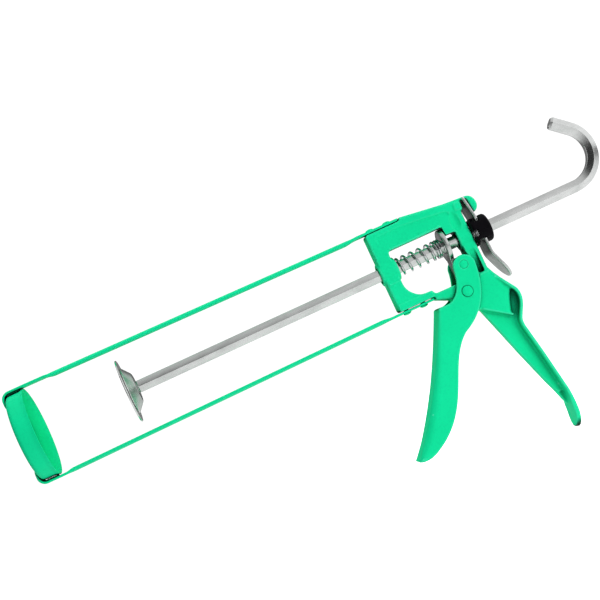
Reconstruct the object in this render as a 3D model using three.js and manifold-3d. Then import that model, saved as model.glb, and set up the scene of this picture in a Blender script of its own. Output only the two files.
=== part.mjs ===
// Skeleton caulking gun for 310 ml cartridges, as an assembly of separate solids.
// Millimetres. +X runs back along the push rod, from the plunger to the hook; +Z is up, away from the
// grip; Y is across the gun, which is the same on both sides of Y = 0. The origin is the middle of the
// plunger's pressing face, on the rod's axis, with the rod at its stored place.
import * as THREE from 'three';
import { mergeVertices } from 'three/addons/utils/BufferGeometryUtils.js';
import Module from 'manifold-3d';

const wasm = await Module();
wasm.setup();

// ---- Driving dimensions ----------------------------------------------------------------------------

const GAP = 0.25;                // left between pieces that bear on each other
const ROUND = 40;                // sides of a large round
const SMALL_ROUND = 20;          // sides of a pin or a rivet
const CURVE_STEPS = 8;           // steps of each curved stretch of an outline
const COIL_STEPS = 14;           // steps of one turn of a spring

// Cradle: the cup's front wall and the casting's stop face hold a cartridge between them
const CUP_FRONT_X = -64.6;
const CUP_DEPTH = 11;
const CUP_R = 26.2;
const CUP_LIP_R = 27;
const CUP_SHEET = 1;
const CUP_CORNER_R = 3;
const NOZZLE_HOLE_R = 15;
const STOP_X = 162.3;
const STRAP_T = 1.5;
const STRAP_HALF_W = 6.3;
const STRAP_FRONT_Z = 27.1;      // inner face of a strap over the cup
const STRAP_REAR_Z = 25;         // and on the casting
const STRAP_REAR_X = 184.4;
const STRAP_BEND_R = 5;          // outside radius of the bend over the cup's front edge
const STRAP_TAB_Z = 19.5;        // how far in towards the axis the bent end reaches
const RIVET_XS = { front: 167, rear: 177.9 };
const RIVET_HEAD_R = 2.5;
const RIVET_HEAD_H = 1;
const RIVET_SHANK_R = 1.5;
const RIVET_LENGTH = 6;

// Push rod and plunger
const ROD_FLATS = 7.2;
const ROD_R = ROD_FLATS / Math.sqrt(3);
const ROD_BORE_R = 4.5;
const ROD_STRAIGHT_END_X = 291.5;
const HOOK_R = 18.6;
const HOOK_TURN = THREE.MathUtils.degToRad(140);
const HOOK_TAIL = 13;
const SPIGOT_R = 2.5;            // turned-down front end that the plunger is riveted on
const PLUNGER_R = 19.25;
const PLUNGER_T = 1.2;
const CONE_BASE_R = 14.3;
const CONE_TOP_R = 8.4;
const CONE_BACK_X = 6;
const CONE_SHEET = 1;

// Casting
const BODY_HALF_W = 6.3;
const RELIEF = 0.8;
const BOSS_R = 7.3;              // of the casting round the rod's bore
const FRONT_BOSS_X = [161.1, 172.6];
const REAR_BOSS_X = 211.8;
const COLUMN_REAR_X = 220.7;
const WEB_HALF_W = 2.2;
const FLANGE_HALF_W = 9;
const FLANGE_T = 1.8;
const GRIP_TIP_Z = -129.3;

// Trigger and drive
const PIVOT = { x: 203, z: -29.7 };
const DRIVE_PIN = { x: 207.8, z: -14.6 };
const CHEEK_IN = 7;
const CHEEK_OUT = 9.5;
const SPINE_T = 2.5;
const LOBE_R = 6.8;
const PIVOT_PIN_R = 2.6;
const PIVOT_HEAD_R = 3.4;
const PIVOT_HEAD_H = 0.8;
const DRIVE_PIN_R = 2.4;
const DRIVE_PLATE_X = 202.6;
const DRIVE_PLATE_T = 2.5;
const DRIVE_HEAD_R = 10.4;
const DRIVE_LEG_HALF_W = 5.5;
const DRIVE_LEG_Z = -21;
const SPRING_MEAN_R = 5.2;
const SPRING_WIRE_R = 0.7;
const SPRING_SEAT_X = 173;
const SPRING_COILS = [[0.5, 1.5], [4, 5.1], [1, 3.3], [2, 1.5]];    // turns and pitch of each stretch

// Release lever and the guide block it works in
const LEVER_T = 1.6;
const LEVER_HALF_W = 10.3;
const LEVER_NECK_HALF_W = 8.6;
const LEVER_HOLE_R = 5.4;
const LEVER_TOP_Z = 20.2;
const LEVER_EAR_Z = 21.5;
const BLOCK_FRONT_X = 220.95;
const BLOCK_REAR_X = 232.4;
const BLOCK_HALF_W = 11.2;
const BLOCK_HALF_H = 8.5;
const BLOCK_POCKET_R = 6.8;      // holds the release spring
const RELEASE_MEAN_R = 5.7;
const RELEASE_WIRE_R = 0.45;
const RELEASE_COILS = [[2.4, 1.4]];

// ---- Materials -------------------------------------------------------------------------------------

const GREEN_PAINT = new THREE.MeshStandardMaterial({ color: 0x16e5a0, roughness: 0.42, metalness: 0 });
const ZINC_STEEL = new THREE.MeshStandardMaterial({ color: 0xc9cccf, roughness: 0.32, metalness: 1 });
const SPRING_STEEL = new THREE.MeshStandardMaterial({ color: 0xa9adb0, roughness: 0.25, metalness: 1 });
const BLACK_PLASTIC = new THREE.MeshStandardMaterial({ color: 0x0a070c, roughness: 0.5, metalness: 0 });

// ---- Solids ----------------------------------------------------------------------------------------

// A closed geometry as a solid that can be joined and cut.
function solid(geometry) {
  const bare = geometry.clone();
  bare.deleteAttribute('normal');
  bare.deleteAttribute('uv');
  const merged = mergeVertices(bare, 1e-5);
  return new wasm.Manifold(new wasm.Mesh({
    numProp: 3,
    vertProperties: new Float32Array(merged.attributes.position.array),
    triVerts: new Uint32Array(merged.index.array),
  }));
}

// Adds one named piece to the gun. A piece of the lower side is drawn for the upper side and turned over.
function addPiece(parent, name, shape, material, side = 1) {
  const { vertProperties, triVerts } = shape.getMesh();
  const geometry = new THREE.BufferGeometry();
  geometry.setAttribute('position', new THREE.BufferAttribute(vertProperties, 3));
  geometry.setIndex(new THREE.BufferAttribute(triVerts, 1));
  geometry.computeVertexNormals();
  const mesh = new THREE.Mesh(geometry, material);
  mesh.name = name;
  mesh.rotation.x = side > 0 ? 0 : Math.PI;
  parent.add(mesh);
}

// An outline in the XZ plane, extruded across the gun from y0 to y1.
function plateAcross(shape, y0, y1, steps = CURVE_STEPS) {
  const geometry = new THREE.ExtrudeGeometry(shape, {
    depth: y1 - y0,
    bevelEnabled: false,
    curveSegments: steps,
  });
  return solid(geometry.rotateX(Math.PI / 2).translate(0, y1, 0));
}

// The same plate on each side of the gun, from |Y| = y0 out to |Y| = y1.
function pairAcross(shape, y0, y1) {
  return plateAcross(shape, y0, y1).add(plateAcross(shape, -y1, -y0));
}

// An outline in the YZ plane, extruded along the gun from x0 to x1.
function plateAlong(shape, x0, x1, steps = CURVE_STEPS) {
  const geometry = new THREE.ExtrudeGeometry(shape, {
    depth: x1 - x0,
    bevelEnabled: false,
    curveSegments: steps,
  });
  const turn = new THREE.Matrix4().makeBasis(
    new THREE.Vector3(0, 1, 0),
    new THREE.Vector3(0, 0, 1),
    new THREE.Vector3(1, 0, 0),
  );
  return solid(geometry.applyMatrix4(turn).translate(x0, 0, 0));
}

function box(x0, x1, y0, y1, z0, z1) {
  const geometry = new THREE.BoxGeometry(x1 - x0, y1 - y0, z1 - z0);
  return solid(geometry.translate((x0 + x1) / 2, (y0 + y1) / 2, (z0 + z1) / 2));
}

// A cylinder along X, on the rod's axis.
function barAlong(r, x0, x1, sides = ROUND) {
  const geometry = new THREE.CylinderGeometry(r, r, x1 - x0, sides);
  return solid(geometry.rotateZ(-Math.PI / 2).translate((x0 + x1) / 2, 0, 0));
}

// A cylinder across the gun at (x, z), from y0 to y1.
function pinAcross(r, x, z, y0, y1, sides = SMALL_ROUND) {
  const geometry = new THREE.CylinderGeometry(r, r, y1 - y0, sides);
  return solid(geometry.translate(x, (y0 + y1) / 2, z));
}

// A cylinder along Z at (x, 0), from z0 to z1.
function pegUp(r, x, z0, z1, sides = SMALL_ROUND) {
  const geometry = new THREE.CylinderGeometry(r, r, z1 - z0, sides);
  return solid(geometry.rotateX(Math.PI / 2).translate(x, 0, (z0 + z1) / 2));
}

// A profile of [radius, x] points turned about the rod's axis. It runs anticlockwise in (radius, x).
function turned(profile, sides = ROUND) {
  const points = profile.map(([r, x]) => new THREE.Vector2(r, x));
  return solid(new THREE.LatheGeometry(points, sides).rotateZ(-Math.PI / 2));
}

// [x, z] pairs as curve points.
function points2(pairs) {
  return pairs.map(([x, z]) => new THREE.Vector2(x, z));
}

// The band of one thickness that lies on the left of a curve, looking along it.
function bandBeside(curve, thickness, steps) {
  const edge = [];
  const inner = [];
  for (let i = 0; i <= steps; i += 1) {
    const point = curve.getPointAt(i / steps);
    const along = curve.getTangentAt(i / steps);
    edge.push(point);
    inner.push(new THREE.Vector2(point.x - along.y * thickness, point.y + along.x * thickness));
  }
  return new THREE.Shape([...edge, ...inner.reverse()]);
}

// An arc's points, [x, z], for use inside a profile.
function arcPoints(cx, cz, r, from, to, steps) {
  const points = [];
  for (let i = 0; i <= steps; i += 1) {
    const angle = from + ((to - from) * i) / steps;
    points.push([cx + r * Math.cos(angle), cz + r * Math.sin(angle)]);
  }
  return points;
}

// ---- Cradle ----------------------------------------------------------------------------------------

// Pressed cup that takes the cartridge's shoulder, with the nozzle's hole and a flared rear lip.
function frontCup() {
  const inner = CUP_R - CUP_SHEET;
  const rear = CUP_FRONT_X + CUP_DEPTH;
  const corner = CUP_FRONT_X + CUP_CORNER_R;
  const outerCorner = arcPoints(CUP_R - CUP_CORNER_R, corner, CUP_CORNER_R, -Math.PI / 2, 0, 4);
  const innerCorner = arcPoints(
    CUP_R - CUP_CORNER_R, corner, CUP_CORNER_R - CUP_SHEET, 0, -Math.PI / 2, 4,
  );
  const profile = [
    [NOZZLE_HOLE_R, CUP_FRONT_X],
    ...outerCorner,
    [CUP_R, rear - 2.2],
    [CUP_LIP_R, rear - 0.8],
    [CUP_LIP_R, rear],
    [CUP_LIP_R - CUP_SHEET, rear],
    [inner, rear - 1.4],
    ...innerCorner,
    [NOZZLE_HOLE_R, CUP_FRONT_X + CUP_SHEET],
    [NOZZLE_HOLE_R, CUP_FRONT_X],
  ];
  return turned(profile);
}

// Flat strap with its front end bent in over the cup, drawn for the upper side.
function strapShape() {
  const outerZ = STRAP_FRONT_Z + STRAP_T;
  const frontX = CUP_FRONT_X - 0.3 - STRAP_T;
  const bendX = frontX + STRAP_BEND_R;
  const bendZ = outerZ - STRAP_BEND_R;
  const levelX = CUP_FRONT_X + CUP_DEPTH + 2;
  const shape = new THREE.Shape();
  shape.moveTo(STRAP_REAR_X, STRAP_REAR_Z);
  shape.lineTo(STRAP_REAR_X, STRAP_REAR_Z + STRAP_T);
  shape.lineTo(STOP_X, STRAP_REAR_Z + STRAP_T);
  shape.lineTo(levelX, outerZ);
  shape.absarc(bendX, bendZ, STRAP_BEND_R, Math.PI / 2, Math.PI, false);
  shape.lineTo(frontX, STRAP_TAB_Z);
  shape.lineTo(frontX + STRAP_T, STRAP_TAB_Z);
  shape.absarc(bendX, bendZ, STRAP_BEND_R - STRAP_T, Math.PI, Math.PI / 2, true);
  shape.lineTo(levelX, STRAP_FRONT_Z);
  shape.lineTo(STOP_X, STRAP_REAR_Z);
  return shape;
}

function strap() {
  let shape = plateAcross(strapShape(), -STRAP_HALF_W, STRAP_HALF_W);
  for (const x of Object.values(RIVET_XS)) {
    shape = shape.subtract(pegUp(RIVET_SHANK_R + GAP, x, STRAP_REAR_Z - 1, STRAP_REAR_Z + 3));
  }
  return shape;
}

// Domed rivet that holds a strap's rear end down on the casting.
function strapRivet(x) {
  const seat = STRAP_REAR_Z + STRAP_T + GAP;
  const domeR = (RIVET_HEAD_R ** 2 + RIVET_HEAD_H ** 2) / (2 * RIVET_HEAD_H);
  const rise = Math.asin(RIVET_HEAD_R / domeR);
  const dome = arcPoints(0, seat + RIVET_HEAD_H - domeR, domeR, Math.PI / 2 - rise, Math.PI / 2, 4);
  dome[dome.length - 1][0] = 0;
  const profile = [
    [0, seat - RIVET_LENGTH],
    [RIVET_SHANK_R, seat - RIVET_LENGTH],
    [RIVET_SHANK_R, seat],
    ...dome,
  ];
  const lathe = new THREE.LatheGeometry(points2(profile), SMALL_ROUND);
  return solid(lathe.rotateX(Math.PI / 2).translate(x, 0, 0));
}

// ---- Casting ---------------------------------------------------------------------------------------

// Side outline of the thick part of the casting: both columns, the beam over the window, the lower arm
// and the shoulder behind the trigger, which stops short of the flange and leaves a hollow in the hump.
function bodyShape() {
  const seat = STRAP_REAR_Z - GAP;
  const shape = new THREE.Shape();
  shape.moveTo(STOP_X, -seat + 1.5);
  shape.lineTo(STOP_X + 1.5, -seat);
  shape.lineTo(STRAP_REAR_X + 0.3, -seat);
  shape.lineTo(STRAP_REAR_X + 0.6, -seat - 1.9);
  shape.lineTo(193.5, -30.4);
  shape.quadraticCurveTo(199, -40.5, 207, -43.2);
  shape.lineTo(222.5, -53.8);
  shape.lineTo(224.3, -48.6);
  shape.lineTo(228.4, -37.2);
  shape.lineTo(226.6, -33.4);
  shape.lineTo(COLUMN_REAR_X, -22.4);
  shape.lineTo(COLUMN_REAR_X, 15);
  shape.lineTo(222.3, 15);
  shape.lineTo(222.3, LEVER_TOP_Z + 0.4);
  shape.lineTo(226.2, LEVER_TOP_Z + 0.4);
  shape.lineTo(227.1, 11.1);
  shape.lineTo(228.3, 11.1);
  shape.quadraticCurveTo(231.4, 12.6, 231.4, 15.8);
  shape.quadraticCurveTo(231, 21.2, 226.6, 21.9);
  shape.lineTo(212.7, 22.8);
  shape.lineTo(STRAP_REAR_X + 0.6, seat + 1.7);
  shape.lineTo(STRAP_REAR_X + 0.3, seat);
  shape.lineTo(STOP_X + 1.5, seat);
  shape.lineTo(STOP_X, seat - 1.5);
  shape.holes.push(windowPath());
  return shape;
}

// The window that the spring and the drive plate work in.
function windowPath() {
  const path = new THREE.Path();
  path.moveTo(172.8, 10.9);
  path.lineTo(206, 10.9);
  path.lineTo(206, 5.4);
  path.lineTo(212.7, 5.4);
  path.lineTo(212.7, -23.6);
  path.lineTo(186.2, -23.2);
  path.lineTo(184.6, -20.6);
  path.lineTo(177, -20.3);
  path.quadraticCurveTo(170.9, -16, 170.8, -7);
  path.lineTo(170.8, 8.9);
  path.quadraticCurveTo(170.8, 10.9, 172.8, 10.9);
  return path;
}

// Shallow relief in the beam's sides, which leaves a border along the top edge and down the front.
function beamRelief() {
  const shape = new THREE.Shape();
  shape.moveTo(175, 8);
  shape.lineTo(175, 21.4);
  shape.lineTo(184, 21.4);
  shape.lineTo(209, 18.6);
  shape.quadraticCurveTo(211.6, 18, 211.6, 15);
  shape.lineTo(211.6, 8);
  return shape;
}

// Deep pocket down the rear column, behind the trigger's lobe.
function columnPocket() {
  return new THREE.Shape(points2([[214.9, -8.4], [218.2, -8.4], [218.2, -23], [214.9, -23]]));
}

// Rear edge of the grip, from the shoulder over the hump and the thumb's hollow down to the tip.
function gripRearCurve() {
  return new THREE.SplineCurve(points2([
    [221.2, -23], [225.8, -32], [230.6, -39.6], [231.4, -44.6], [229, -52], [225.9, -57.6],
    [226.3, -64], [229.3, -80.3], [233.4, -106], [233.6, -118], [232.2, GRIP_TIP_Z],
  ]));
}

// Thin web of the grip, from the shoulder down to where it runs out on the flange.
function gripWebShape() {
  const shape = new THREE.Shape();
  shape.moveTo(206.5, -40);
  shape.lineTo(206.9, -43.6);
  shape.lineTo(217.1, -76.2);
  shape.lineTo(224.5, -98.2);
  shape.lineTo(229.8, -114);
  shape.lineTo(232.4, -114);
  shape.lineTo(231.6, -104);
  shape.lineTo(228, -80.3);
  shape.lineTo(224.8, -63);
  shape.lineTo(224.6, -57);
  shape.lineTo(228, -51);
  shape.lineTo(230.2, -45);
  shape.lineTo(228.4, -37.2);
  shape.lineTo(224, -36);
  return shape;
}

// The flange seen from behind: it spreads from the body's width at the shoulder and ends in a round tip.
function flangeFace() {
  const tipR = FLANGE_HALF_W - 0.3;
  const shape = new THREE.Shape();
  shape.moveTo(-BODY_HALF_W, -20);
  shape.lineTo(-BODY_HALF_W, -27);
  shape.quadraticCurveTo(-FLANGE_HALF_W, -32, -FLANGE_HALF_W, -40);
  shape.lineTo(-tipR, GRIP_TIP_Z + tipR);
  shape.absarc(0, GRIP_TIP_Z + tipR, tipR, Math.PI, 2 * Math.PI, false);
  shape.lineTo(FLANGE_HALF_W, -40);
  shape.quadraticCurveTo(FLANGE_HALF_W, -32, BODY_HALF_W, -27);
  shape.lineTo(BODY_HALF_W, -20);
  return shape;
}

function gripFlange() {
  const band = bandBeside(gripRearCurve(), -FLANGE_T, 34);
  return plateAcross(band, -FLANGE_HALF_W, FLANGE_HALF_W)
    .intersect(plateAlong(flangeFace(), 205, 245));
}

function handleBody() {
  let body = plateAcross(bodyShape(), -BODY_HALF_W, BODY_HALF_W)
    .subtract(pairAcross(beamRelief(), BODY_HALF_W - RELIEF, BODY_HALF_W + 1))
    .subtract(pairAcross(columnPocket(), WEB_HALF_W, BODY_HALF_W + 1))
    .add(barAlong(BOSS_R, ...FRONT_BOSS_X))
    .add(barAlong(BOSS_R, REAR_BOSS_X, COLUMN_REAR_X))
    .add(plateAcross(gripWebShape(), -WEB_HALF_W, WEB_HALF_W))
    .add(gripFlange())
    .subtract(barAlong(ROD_BORE_R, STOP_X - 5, COLUMN_REAR_X + 5))
    .subtract(pinAcross(PIVOT_PIN_R + GAP, PIVOT.x, PIVOT.z, -12, 12));
  for (const x of Object.values(RIVET_XS)) {
    const deep = STRAP_REAR_Z + STRAP_T - RIVET_LENGTH - GAP;
    body = body
      .subtract(pegUp(RIVET_SHANK_R + GAP, x, deep, STRAP_REAR_Z + 4))
      .subtract(pegUp(RIVET_SHANK_R + GAP, x, -STRAP_REAR_Z - 4, -deep));
  }
  return body;
}

// ---- Trigger and drive -----------------------------------------------------------------------------

// Front edge of the trigger, where the fingers pull.
function triggerFrontCurve() {
  return new THREE.QuadraticBezierCurve(
    new THREE.Vector2(182.6, -33.4),
    new THREE.Vector2(159.6, -80),
    new THREE.Vector2(135.2, -107.9),
  );
}

// Side outline of a trigger cheek: lobe, notch under the casting's arm, front edge, tip and rear edge.
function cheekShape() {
  const front = triggerFrontCurve();
  const shape = new THREE.Shape();
  shape.absarc(DRIVE_PIN.x + 0.1, DRIVE_PIN.z - 1, LOBE_R, 0, Math.PI, false);
  shape.quadraticCurveTo(198.8, -30.6, 189.5, -32);
  shape.lineTo(184, -32);
  shape.quadraticCurveTo(183, -32, front.v0.x, front.v0.y);
  shape.quadraticCurveTo(front.v1.x, front.v1.y, front.v2.x, front.v2.y);
  shape.quadraticCurveTo(141, -111, 149.5, -105.8);
  shape.bezierCurveTo(176.5, -91.5, 175, -63, 192.4, -50.9);
  shape.bezierCurveTo(208.5, -43.5, 213.2, -30.5, DRIVE_PIN.x + 0.1 + LOBE_R, DRIVE_PIN.z - 1);
  return shape;
}

// Channel trigger: two cheeks that straddle the casting, joined by a spine down the front edge.
function trigger() {
  const spine = plateAcross(bandBeside(triggerFrontCurve(), SPINE_T, 12), -CHEEK_OUT, CHEEK_OUT)
    .intersect(plateAcross(cheekShape(), -CHEEK_OUT, CHEEK_OUT));
  return pairAcross(cheekShape(), CHEEK_IN, CHEEK_OUT)
    .add(spine)
    .subtract(pinAcross(PIVOT_PIN_R + GAP, PIVOT.x, PIVOT.z, -12, 12))
    .subtract(pinAcross(DRIVE_PIN_R + GAP, DRIVE_PIN.x, DRIVE_PIN.z, -12, 12));
}

// Rivet that the trigger turns on, headed over both cheeks.
function pivotPin() {
  const under = CHEEK_OUT + GAP;
  const over = under + PIVOT_HEAD_H;
  return pinAcross(PIVOT_PIN_R, PIVOT.x, PIVOT.z, -over, over)
    .add(pinAcross(PIVOT_HEAD_R, PIVOT.x, PIVOT.z, under, over))
    .add(pinAcross(PIVOT_HEAD_R, PIVOT.x, PIVOT.z, -over, -under));
}

// Cross pin in the trigger's lobe, which pushes the drive plate.
function drivePin() {
  return pinAcross(DRIVE_PIN_R, DRIVE_PIN.x, DRIVE_PIN.z, -CHEEK_OUT, CHEEK_OUT);
}

// Steel plate round the rod: a round head under the spring and a leg down to the trigger's pin.
function drivePlate() {
  const head = new THREE.Shape();
  head.absarc(0, 0, DRIVE_HEAD_R, 0, 2 * Math.PI, false);
  const back = DRIVE_PLATE_X + DRIVE_PLATE_T;
  return plateAlong(head, DRIVE_PLATE_X, back, ROUND)
    .add(box(DRIVE_PLATE_X, back, -DRIVE_LEG_HALF_W, DRIVE_LEG_HALF_W, DRIVE_LEG_Z, 0))
    .subtract(barAlong(ROD_BORE_R, DRIVE_PLATE_X - 1, back + 1));
}

// Helix along X whose pitch changes along its length: coils is a list of [turns, pitch].
class Coil extends THREE.Curve {
  constructor(x0, radius, coils) {
    super();
    this.x0 = x0;
    this.radius = radius;
    this.coils = coils;
    this.turns = coils.reduce((sum, [turns]) => sum + turns, 0);
  }

  getPoint(t, target = new THREE.Vector3()) {
    let left = t * this.turns;
    let x = this.x0;
    for (const [turns, pitch] of this.coils) {
      const here = Math.min(left, turns);
      x += here * pitch;
      left -= here;
    }
    const angle = 2 * Math.PI * t * this.turns;
    return target.set(x, this.radius * Math.cos(angle), this.radius * Math.sin(angle));
  }

  getUtoTmapping(u) {
    return u;
  }
}

// A wound spring of round wire.
function spring(x0, meanR, wireR, coils, stepsPerTurn) {
  const path = new Coil(x0 + wireR, meanR, coils);
  const wire = new THREE.Shape();
  wire.absarc(0, 0, wireR, 0, 2 * Math.PI, false);
  return solid(new THREE.ExtrudeGeometry(wire, {
    steps: Math.round(path.turns * stepsPerTurn),
    curveSegments: 6,
    extrudePath: path,
  }));
}

// Return spring between the front column and the drive plate: open coils, then closed ones at the plate.
function driveSpring() {
  return spring(SPRING_SEAT_X, SPRING_MEAN_R, SPRING_WIRE_R, SPRING_COILS, COIL_STEPS);
}

// ---- Push rod --------------------------------------------------------------------------------------

// The rod's centre line, stepped so that the bend takes all but the first and last steps.
class RodPath extends THREE.Curve {
  constructor(x0, bendSteps) {
    super();
    this.x0 = x0;
    this.steps = bendSteps + 2;
  }

  getPoint(t, target = new THREE.Vector3()) {
    const step = t * this.steps;
    if (step <= 1) {
      return target.set(THREE.MathUtils.lerp(this.x0, ROD_STRAIGHT_END_X, step), 0, 0);
    }
    const bend = Math.min((step - 1) / (this.steps - 2), 1) * HOOK_TURN;
    const tail = Math.max(step - (this.steps - 1), 0) * HOOK_TAIL;
    return target.set(
      ROD_STRAIGHT_END_X + HOOK_R * Math.sin(bend) + tail * Math.cos(bend),
      0,
      HOOK_R * (1 - Math.cos(bend)) + tail * Math.sin(bend),
    );
  }

  getUtoTmapping(u) {
    return u;
  }
}

// Hexagon rod with flats above and below, a hook at the rear and a turned spigot at the front.
function pushRod() {
  const corners = [];
  for (let i = 0; i < 6; i += 1) {
    const angle = Math.PI / 6 + (i * Math.PI) / 3;
    corners.push([ROD_R * Math.cos(angle), ROD_R * Math.sin(angle)]);
  }
  const path = new RodPath(CONE_BACK_X + GAP, 14);
  const bar = solid(new THREE.ExtrudeGeometry(new THREE.Shape(points2(corners)), {
    steps: path.steps,
    extrudePath: path,
  }));
  return bar.add(barAlong(SPIGOT_R, 0, CONE_BACK_X + 4, SMALL_ROUND));
}

// Flat disc that presses on the cartridge's piston.
function plungerDisc() {
  const hole = SPIGOT_R + GAP;
  return turned([[hole, 0], [PLUNGER_R, 0], [PLUNGER_R, PLUNGER_T], [hole, PLUNGER_T], [hole, 0]]);
}

// Pressed cone that stiffens the disc from behind.
function plungerCone() {
  const hole = SPIGOT_R + GAP;
  const baseX = PLUNGER_T + GAP;
  return turned([
    [CONE_BASE_R - 1.4, baseX],
    [CONE_BASE_R, baseX],
    [CONE_TOP_R, CONE_BACK_X],
    [hole, CONE_BACK_X],
    [hole, CONE_BACK_X - CONE_SHEET],
    [CONE_TOP_R - 0.5, CONE_BACK_X - CONE_SHEET],
    [CONE_BASE_R - 1.4, baseX],
  ]);
}

// ---- Release ---------------------------------------------------------------------------------------

// Side outline of the lever: a sloping top in the casting's slot, an upright middle and a thumb end.
function leverSide() {
  const line = points2([[224, LEVER_EAR_Z], [226.2, 8], [226.2, -13.6], [227.4, -17], [232.2, -33]]);
  const front = [];
  const rear = [];
  line.forEach((point, i) => {
    const before = line[Math.max(i - 1, 0)];
    const after = line[Math.min(i + 1, line.length - 1)];
    const along = new THREE.Vector2().subVectors(after, before).normalize();
    const aside = new THREE.Vector2(along.y, -along.x).multiplyScalar(LEVER_T / 2);
    front.push(point.clone().add(aside));
    rear.unshift(point.clone().sub(aside));
  });
  return new THREE.Shape([...front, ...rear]);
}

// The lever seen from behind: ears beside the casting, a neck in the guide block and a round thumb end.
function leverFace() {
  const w = LEVER_HALF_W;
  const neck = LEVER_NECK_HALF_W;
  const notch = BODY_HALF_W + 0.5;
  const thumbR = 9.4;
  const tipZ = -32.2;
  const shape = new THREE.Shape();
  shape.moveTo(-w, LEVER_EAR_Z + 2);
  shape.lineTo(-w, 7);
  shape.lineTo(-neck, 6.4);
  shape.lineTo(-neck, -5.6);
  shape.lineTo(-w, -6.2);
  shape.lineTo(-w, -14);
  shape.quadraticCurveTo(-w, -18, -thumbR, tipZ + thumbR);
  shape.absarc(0, tipZ + thumbR, thumbR, Math.PI, 2 * Math.PI, false);
  shape.quadraticCurveTo(w, -18, w, -14);
  shape.lineTo(w, -6.2);
  shape.lineTo(neck, -5.6);
  shape.lineTo(neck, 6.4);
  shape.lineTo(w, 7);
  shape.lineTo(w, LEVER_EAR_Z + 2);
  shape.lineTo(notch, LEVER_EAR_Z + 2);
  shape.lineTo(notch, LEVER_TOP_Z);
  shape.lineTo(-notch, LEVER_TOP_Z);
  shape.lineTo(-notch, LEVER_EAR_Z + 2);
  return shape;
}

function releaseLever() {
  return plateAcross(leverSide(), -LEVER_HALF_W - 1, LEVER_HALF_W + 1)
    .intersect(plateAlong(leverFace(), 215, 240))
    .subtract(barAlong(LEVER_HOLE_R, 220, 230));
}

// Light spring round the rod that keeps the lever tilted back, so that it grips the rod.
function releaseSpring() {
  return spring(COLUMN_REAR_X + GAP, RELEASE_MEAN_R, RELEASE_WIRE_R, RELEASE_COILS, COIL_STEPS);
}

// Stadium outline of the guide block, seen along the rod.
function blockFace(halfW, halfH) {
  const flat = halfW - halfH;
  const shape = new THREE.Shape();
  shape.absarc(flat, 0, halfH, -Math.PI / 2, Math.PI / 2, false);
  shape.absarc(-flat, 0, halfH, Math.PI / 2, (3 * Math.PI) / 2, false);
  return shape;
}

// Black block on the back of the casting: it guides the rod, and the lever tilts in its slot. The slot
// is wider at the bottom, where the lever moves further, and the side openings show the rod.
function guideBlock() {
  const slot = new THREE.Shape(points2([[224.4, 12], [227.4, 12], [227.4, -12], [222.6, -12]]));
  const bridge = new THREE.Shape(points2([[222.8, -5.2], [228, -5.2], [228, 6], [222.8, 6]]));
  return plateAlong(blockFace(BLOCK_HALF_W, BLOCK_HALF_H), BLOCK_FRONT_X, BLOCK_REAR_X)
    .subtract(plateAcross(slot, -14, 14))
    .add(pairAcross(bridge, LEVER_NECK_HALF_W + 0.4, BLOCK_HALF_W - 0.6))
    .subtract(box(BLOCK_FRONT_X - 1, 224, -14, 14, -3.2, 0.6))
    .subtract(barAlong(BLOCK_POCKET_R, BLOCK_FRONT_X - 1, 225))
    .subtract(barAlong(ROD_BORE_R, BLOCK_FRONT_X - 1, BLOCK_REAR_X + 1));
}

// ---- Assembly --------------------------------------------------------------------------------------

const gun = new THREE.Group();
const cradle = new THREE.Group();
const drive = new THREE.Group();
const rod = new THREE.Group();
const release = new THREE.Group();
gun.add(cradle, drive, rod, release);

addPiece(cradle, 'front_cup', frontCup(), GREEN_PAINT);
for (const [place, side] of [['upper', 1], ['lower', -1]]) {
  addPiece(cradle, `cradle_strap_${place}`, strap(), GREEN_PAINT, side);
  for (const [end, x] of Object.entries(RIVET_XS)) {
    addPiece(cradle, `strap_rivet_${place}_${end}`, strapRivet(x), GREEN_PAINT, side);
  }
}
addPiece(gun, 'handle_body', handleBody(), GREEN_PAINT);

addPiece(drive, 'trigger', trigger(), GREEN_PAINT);
addPiece(drive, 'trigger_pivot_pin', pivotPin(), GREEN_PAINT);
addPiece(drive, 'trigger_drive_pin', drivePin(), GREEN_PAINT);
addPiece(drive, 'drive_plate', drivePlate(), ZINC_STEEL);
addPiece(drive, 'drive_spring', driveSpring(), SPRING_STEEL);

addPiece(rod, 'push_rod', pushRod(), ZINC_STEEL);
addPiece(rod, 'plunger_disc', plungerDisc(), ZINC_STEEL);
addPiece(rod, 'plunger_cone', plungerCone(), ZINC_STEEL);

addPiece(release, 'release_lever', releaseLever(), ZINC_STEEL);
addPiece(release, 'release_spring', releaseSpring(), SPRING_STEEL);
addPiece(release, 'rod_guide_block', guideBlock(), BLACK_PLASTIC);

export default gun;
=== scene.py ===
import math

import bmesh
import bpy
import numpy as np
from mathutils import Matrix, Vector


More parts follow.
